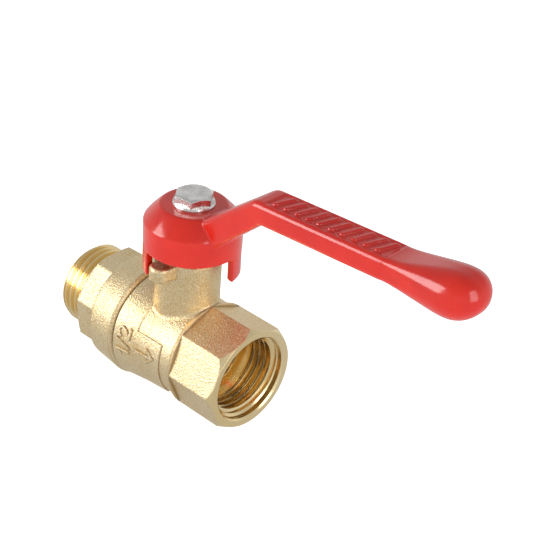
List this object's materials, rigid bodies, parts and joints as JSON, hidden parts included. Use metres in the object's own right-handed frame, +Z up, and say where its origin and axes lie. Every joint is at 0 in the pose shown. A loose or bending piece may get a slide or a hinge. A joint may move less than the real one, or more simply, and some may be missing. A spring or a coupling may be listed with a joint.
{
  "type": "ball valve",
  "caption": "Quarter-turn lever ball valve for G 1/2 pipe, female thread at one end, male thread at the other, cast brass body, red cranked lever.",
  "frame": {"origin": "centre of the ball, where the pipe axis and the stem axis cross", "axes": "+X along the pipe axis out of the female end, which is also where the open lever points; +Z up along the stem axis; +Y completes the frame"},
  "size_m": [0.1163, 0.0296, 0.0701],
  "materials": {
    "cast_brass": "shot-blasted",
    "turned_brass": "machined",
    "chromed_ball": "polished",
    "white_ptfe": "satin",
    "black_rubber": "matte",
    "red_paint": "gloss",
    "zinc_steel": "zinc plated"
  },
  "bodies": {
    "valve": {"valve_body": "cast_brass", "male_end_connector": "cast_brass", "joint_o_ring": "black_rubber", "seat_ring_female_side": "white_ptfe", "seat_ring_male_side": "white_ptfe", "stem_thrust_washer": "white_ptfe", "gland_packing_lower": "white_ptfe", "gland_packing_upper": "white_ptfe", "gland_nut": "turned_brass"},
    "lever": {"lever_handle": "red_paint", "handle_screw": "zinc_steel", "stem": "turned_brass", "stem_o_ring_lower": "black_rubber", "stem_o_ring_upper": "black_rubber"},
    "ball": {"ball": "chromed_ball"}
  },
  "joints": [
    {"name": "handle_turn", "type": "hinge", "parent": "valve", "child": "lever", "pos_m": [0, 0, 0.03], "axis": [0, 0, 1], "range_deg": [-90, 0]},
    {"name": "ball_turn", "type": "hinge", "parent": "valve", "child": "ball", "pos_m": [0, 0, 0], "axis": [0, 0, 1], "range_deg": [-90, 0]}
  ],
  "couplings": [
    {"joint": "ball_turn", "follows": "handle_turn", "ratio": 1}
  ]
}
